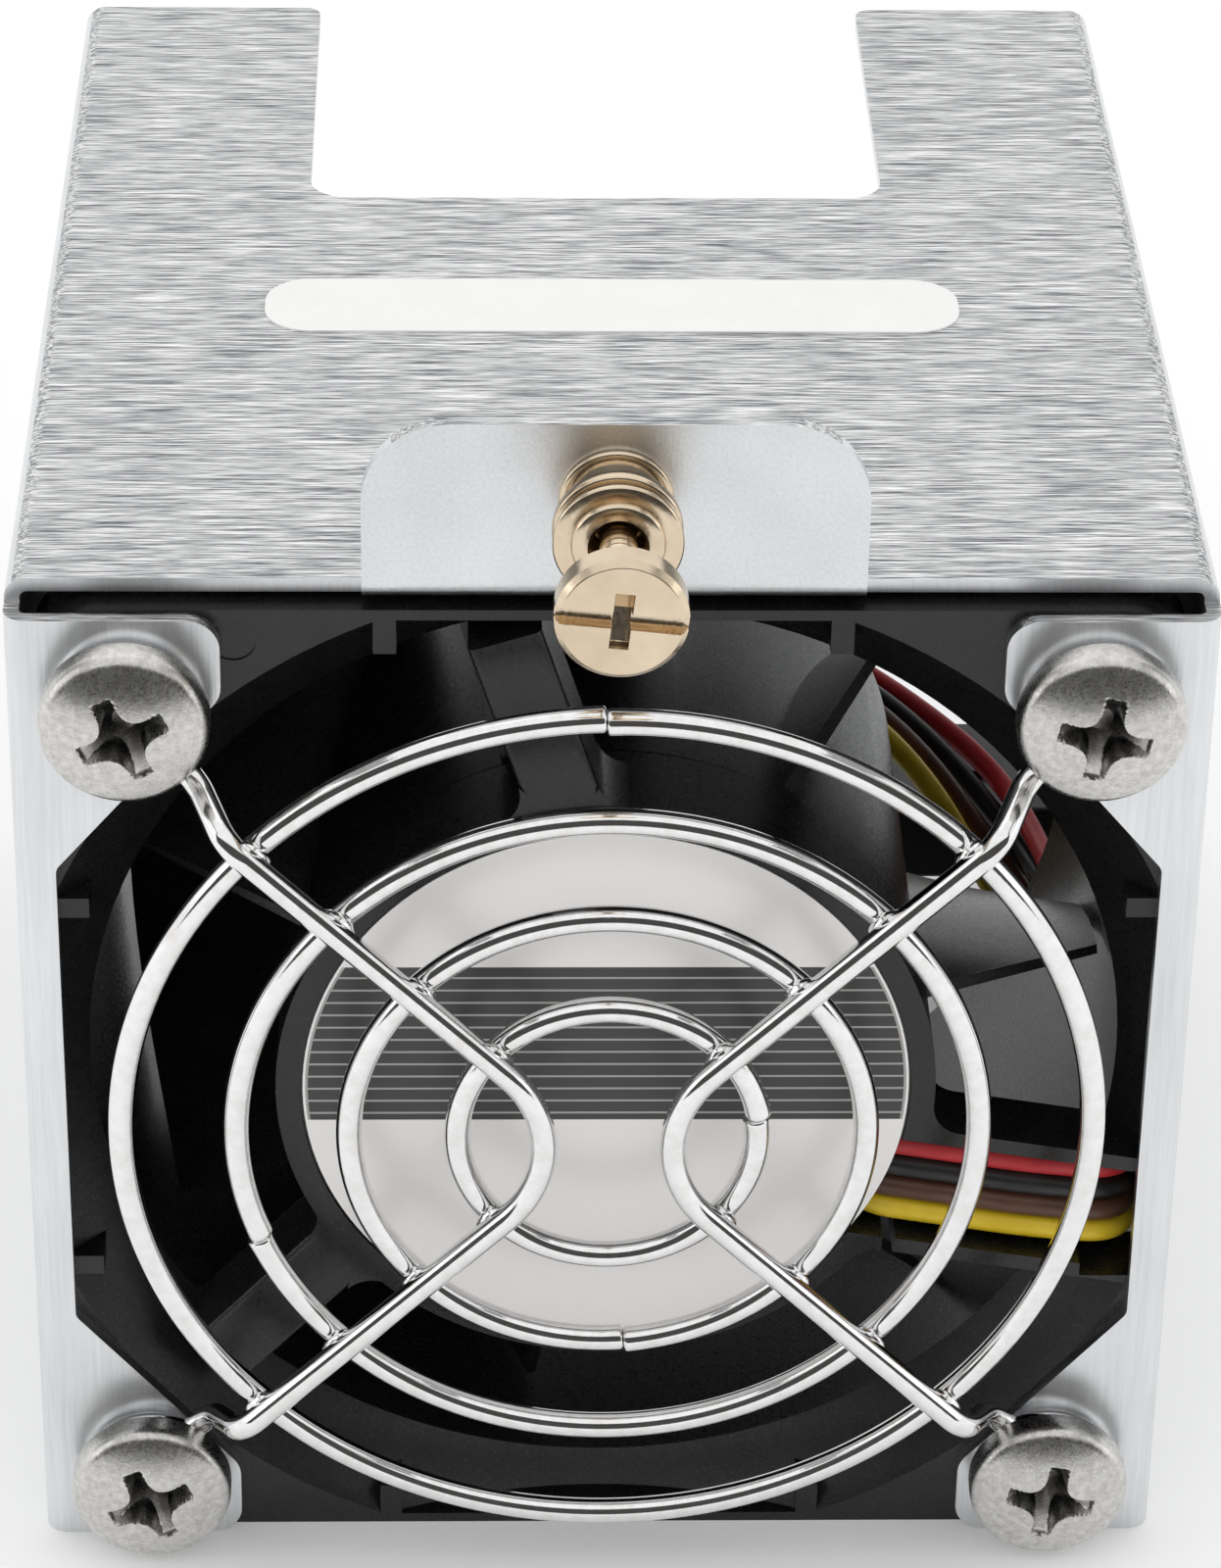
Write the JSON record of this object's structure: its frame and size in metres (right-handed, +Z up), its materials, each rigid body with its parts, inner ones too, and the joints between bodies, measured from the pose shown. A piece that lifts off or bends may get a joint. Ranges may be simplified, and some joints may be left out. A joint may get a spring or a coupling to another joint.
{
  "type": "fan module",
  "caption": "Axial cooling fan screwed into a folded sheet-metal bracket, with a round wire guard, a tab with a captive fixing screw, and a wire lead with a plug.",
  "frame": {"origin": "bottom centre of the bounding box without the lead, on the plane the fan and the bracket's walls stand on", "axes": "+Z up, -Y towards the wire guard and the captive screw's head, +X to the right seen from the guard"},
  "size_m": [0.0624, 0.0838, 0.0708],
  "materials": {
    "zinc_sheet": "zinc plated, lightly brushed",
    "zinc_screw": "dull zinc plating",
    "nickel": "warm nickel plating, satin",
    "chrome_wire": "bright plated wire",
    "black_plastic": "moulded, satin",
    "silver_label": "printed foil sticker",
    "white_label": "blank paper sticker",
    "bearing_steel": "ground steel",
    "turned_brass": "turned",
    "dark_steel": "pressed steel",
    "ferrite": "sintered ferrite",
    "silicon_steel": "stacked laminations",
    "insulator": "moulded natural plastic",
    "copper": "enamelled wire",
    "board": "solder mask",
    "component": "moulded package",
    "tinned": "tin plated",
    "red_insulation": "soft sleeve",
    "black_insulation": "soft sleeve",
    "brown_insulation": "soft sleeve",
    "yellow_insulation": "soft sleeve",
    "plug_plastic": "black nylon"
  },
  "bodies": {
    "module": {"bracket": "zinc_sheet", "captive_ferrule": "nickel", "mounting_screws": "zinc_screw", "guard_stay_left": "chrome_wire", "guard_stay_right": "chrome_wire", "guard_ring_1": "chrome_wire", "guard_ring_2": "chrome_wire", "guard_ring_3": "chrome_wire", "guard_ring_4": "chrome_wire", "fan_housing": "black_plastic", "motor_base": "black_plastic", "bearing_tube": "turned_brass", "stator_core": "silicon_steel", "stator_insulators": "insulator", "stator_windings": "copper", "terminal_pins": "tinned", "circuit_board": "board", "board_components": "component", "hub_label": "silver_label", "part_label": "white_label", "connector_housing": "plug_plastic", "connector_terminals": "tinned", "lead_red": "red_insulation", "lead_black": "black_insulation", "lead_brown": "brown_insulation", "lead_yellow": "yellow_insulation", "front_bearing_outer_ring": "bearing_steel", "rear_bearing_outer_ring": "bearing_steel"},
    "rotor": {"impeller": "black_plastic", "rotor_yoke": "dark_steel", "rotor_magnet": "ferrite", "shaft": "bearing_steel", "shaft_clip": "dark_steel", "preload_spring": "bearing_steel", "front_bearing_inner_ring": "bearing_steel", "rear_bearing_inner_ring": "bearing_steel"},
    "front_balls": {"front_bearing_balls": "bearing_steel", "front_bearing_cage": "dark_steel"},
    "rear_balls": {"rear_bearing_balls": "bearing_steel", "rear_bearing_cage": "dark_steel"},
    "captive_screw": {"captive_screw": "nickel"}
  },
  "joints": [
    {"name": "impeller_spin", "type": "hinge", "parent": "module", "child": "rotor", "pos_m": [0, -0.0278, 0.03], "axis": [0, 1, 0], "continuous": true},
    {"name": "front_balls_spin", "type": "hinge", "parent": "module", "child": "front_balls", "pos_m": [0, -0.0258, 0.03], "axis": [0, 1, 0], "continuous": true},
    {"name": "rear_balls_spin", "type": "hinge", "parent": "module", "child": "rear_balls", "pos_m": [0, -0.0042, 0.03], "axis": [0, 1, 0], "continuous": true},
    {"name": "captive_screw_slide", "type": "slide", "parent": "module", "child": "captive_screw", "axis": [0, 1, 0], "range_m": [0, 0.0054]}
  ],
  "couplings": [
    {"joint": "front_balls_spin", "follows": "impeller_spin", "ratio": 0.3545},
    {"joint": "rear_balls_spin", "follows": "impeller_spin", "ratio": 0.3545}
  ]
}
